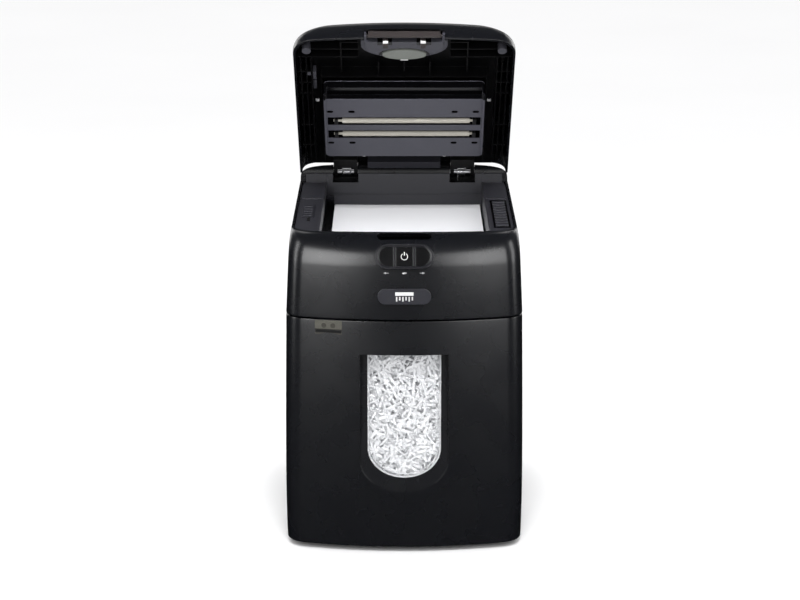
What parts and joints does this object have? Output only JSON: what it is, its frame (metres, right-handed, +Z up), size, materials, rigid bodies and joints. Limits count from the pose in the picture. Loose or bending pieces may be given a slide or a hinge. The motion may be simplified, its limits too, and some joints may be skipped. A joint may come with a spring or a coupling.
{
  "type": "paper shredder",
  "caption": "Auto-feed cross-cut paper shredder with a hinged feed lid standing open over a sheet chamber, and a pull-out bin with a window",
  "frame": {"origin": "on the floor, at the middle of the machine's footprint", "axes": "+X to the machine's right seen from the front, -Y towards its front, +Z up"},
  "size_m": [0.32, 0.372, 0.6942],
  "materials": {
    "shell_plastic": "fine grain, satin",
    "dark_plastic": "matt",
    "grey_plastic": "satin",
    "gloss_black": "gloss",
    "light_plastic": "frosted satin",
    "gear_plastic": "natural",
    "red_plastic": "gloss",
    "board": "lacquered",
    "rubber": "matt",
    "steel": "brushed",
    "spring_steel": "bright",
    "zinc_steel": "zinc plated",
    "bronze": "sintered",
    "window": "clear",
    "paper": "uncoated",
    "ivory": "satin"
  },
  "bodies": {
    "frame": {"cabinet_shell": "shell_plastic", "base_pan": "dark_plastic", "rubber_feet": "rubber", "cabinet_screws": "zinc_steel", "head_shell": "shell_plastic", "top_deck": "grey_plastic", "rear_housing": "shell_plastic", "head_pan": "dark_plastic", "control_bezel": "gloss_black", "badge_plate": "grey_plastic", "guide_label": "dark_plastic", "vent_grille": "dark_plastic", "finger_cup": "dark_plastic", "control_board": "board", "main_board": "board", "side_plate_right": "steel", "side_plate_left": "steel", "shaft_bearings": "bronze", "tie_rods": "steel", "gear_axles": "steel", "stripper_combs": "dark_plastic", "motor": "zinc_steel", "mains_inlet": "dark_plastic", "lid_switch": "dark_plastic", "bin_switch": "dark_plastic", "hinge_pins": "steel", "hinge_springs": "spring_steel", "paper_stack": "paper"},
    "lid": {"lid_shell": "shell_plastic", "lid_liner": "dark_plastic", "lid_fittings": "grey_plastic", "lid_hinge_arms": "dark_plastic", "latch_base": "grey_plastic", "latch_thumb_pad": "light_plastic", "plate_springs": "spring_steel"},
    "latch": {"latch_lever": "grey_plastic"},
    "plate": {"pressure_plate": "grey_plastic", "roller_bushes": "dark_plastic"},
    "press_roller_upper": {"press_roller_upper": "ivory"},
    "press_roller_lower": {"press_roller_lower": "ivory"},
    "bin": {"bin_tub": "dark_plastic", "bin_front": "shell_plastic", "bin_window": "window", "bin_label": "grey_plastic", "paper_shreds": "paper"},
    "key_reverse": {"button_reverse": "gloss_black"},
    "key_auto": {"button_auto": "gloss_black"},
    "key_forward": {"button_forward": "gloss_black"},
    "cutter_rear": {"cutter_shaft_rear": "steel"},
    "cutter_front": {"cutter_shaft_front": "steel"},
    "feed_front": {"feed_roller_front": "rubber"},
    "feed_rear": {"feed_roller_rear": "rubber"},
    "idler_front": {"feed_idler_front": "gear_plastic"},
    "idler_rear": {"feed_idler_rear": "gear_plastic"},
    "gear_second": {"reduction_gear_second": "gear_plastic"},
    "gear_first": {"reduction_gear_first": "gear_plastic"},
    "rotor": {"motor_rotor": "steel"},
    "rocker": {"power_rocker": "red_plastic"},
    "lid_plunger": {"lid_switch_plunger": "dark_plastic"},
    "bin_plunger": {"bin_switch_plunger": "red_plastic"}
  },
  "joints": [
    {"name": "lid_hinge", "type": "hinge", "parent": "frame", "child": "lid", "pos_m": [0, 0.162, 0.449], "axis": [1, 0, 0], "range_deg": [0, 49.5], "stiffness_Nm_per_rad": 0.9, "springref_deg": -97.4},
    {"name": "latch_lever", "type": "hinge", "parent": "lid", "child": "latch", "pos_m": [0, -0.03348, 0.67788], "axis": [1, 0, 0], "range_deg": [0, 10], "stiffness_Nm_per_rad": 0.06, "springref_deg": -8.59},
    {"name": "pressure_plate_slide", "type": "slide", "parent": "lid", "child": "plate", "axis": [0, 0.7604, 0.6494], "range_m": [0, 0.006], "stiffness_N_per_m": 400, "springref_m": -0.01},
    {"name": "press_roller_upper_spin", "type": "hinge", "parent": "plate", "child": "press_roller_upper", "pos_m": [0, 0.03139, 0.55049], "axis": [1, 0, 0], "continuous": true},
    {"name": "press_roller_lower_spin", "type": "hinge", "parent": "plate", "child": "press_roller_lower", "pos_m": [0, 0.05023, 0.52844], "axis": [1, 0, 0], "continuous": true},
    {"name": "bin_slide", "type": "slide", "parent": "frame", "child": "bin", "axis": [0, -1, 0], "range_m": [0, 0.33]},
    {"name": "key_reverse_press", "type": "slide", "parent": "frame", "child": "key_reverse", "axis": [0, 0.9397, -0.342], "range_m": [0, 0.0012], "stiffness_N_per_m": 300, "springref_m": -0.001},
    {"name": "key_auto_press", "type": "slide", "parent": "frame", "child": "key_auto", "axis": [0, 0.9397, -0.342], "range_m": [0, 0.0012], "stiffness_N_per_m": 300, "springref_m": -0.001},
    {"name": "key_forward_press", "type": "slide", "parent": "frame", "child": "key_forward", "axis": [0, 0.9397, -0.342], "range_m": [0, 0.0012], "stiffness_N_per_m": 300, "springref_m": -0.001},
    {"name": "cutter_rear_spin", "type": "hinge", "parent": "frame", "child": "cutter_rear", "pos_m": [0, 0.017, 0.346], "axis": [1, 0, 0], "continuous": true},
    {"name": "cutter_front_spin", "type": "hinge", "parent": "frame", "child": "cutter_front", "pos_m": [0, -0.017, 0.346], "axis": [1, 0, 0], "continuous": true},
    {"name": "feed_front_spin", "type": "hinge", "parent": "frame", "child": "feed_front", "pos_m": [0, -0.022, 0.383], "axis": [1, 0, 0], "continuous": true},
    {"name": "feed_rear_spin", "type": "hinge", "parent": "frame", "child": "feed_rear", "pos_m": [0, 0.022, 0.383], "axis": [1, 0, 0], "continuous": true},
    {"name": "idler_front_spin", "type": "hinge", "parent": "frame", "child": "idler_front", "pos_m": [0, -0.02467, 0.36117], "axis": [1, 0, 0], "continuous": true},
    {"name": "idler_rear_spin", "type": "hinge", "parent": "frame", "child": "idler_rear", "pos_m": [0, 0.02467, 0.36117], "axis": [1, 0, 0], "continuous": true},
    {"name": "gear_second_spin", "type": "hinge", "parent": "frame", "child": "gear_second", "pos_m": [0, 0.044, 0.3641], "axis": [1, 0, 0], "continuous": true},
    {"name": "gear_first_spin", "type": "hinge", "parent": "frame", "child": "gear_first", "pos_m": [0, 0.07, 0.3551], "axis": [1, 0, 0], "continuous": true},
    {"name": "rotor_spin", "type": "hinge", "parent": "frame", "child": "rotor", "pos_m": [0, 0.094, 0.3441], "axis": [1, 0, 0], "continuous": true},
    {"name": "rocker_tip", "type": "hinge", "parent": "frame", "child": "rocker", "pos_m": [0.063, 0.178, 0.353], "axis": [1, 0, 0], "range_deg": [-16, 0]},
    {"name": "lid_switch_press", "type": "slide", "parent": "frame", "child": "lid_plunger", "axis": [0, 0, -1], "range_m": [0, 0.0018], "stiffness_N_per_m": 120, "springref_m": -0.002},
    {"name": "bin_switch_press", "type": "slide", "parent": "frame", "child": "bin_plunger", "axis": [0, 1, 0], "range_m": [0, 0.0012], "stiffness_N_per_m": 120, "springref_m": -0.002}
  ],
  "couplings": [
    {"joint": "cutter_front_spin", "follows": "cutter_rear_spin", "ratio": -1},
    {"joint": "gear_second_spin", "follows": "cutter_rear_spin", "ratio": -3.3333},
    {"joint": "gear_first_spin", "follows": "cutter_rear_spin", "ratio": 13.333},
    {"joint": "rotor_spin", "follows": "cutter_rear_spin", "ratio": -74.667},
    {"joint": "idler_rear_spin", "follows": "cutter_rear_spin", "ratio": -0.88889},
    {"joint": "feed_rear_spin", "follows": "cutter_rear_spin", "ratio": 0.61538},
    {"joint": "idler_front_spin", "follows": "cutter_rear_spin", "ratio": 0.88889},
    {"joint": "feed_front_spin", "follows": "cutter_rear_spin", "ratio": -0.61538}
  ]
}
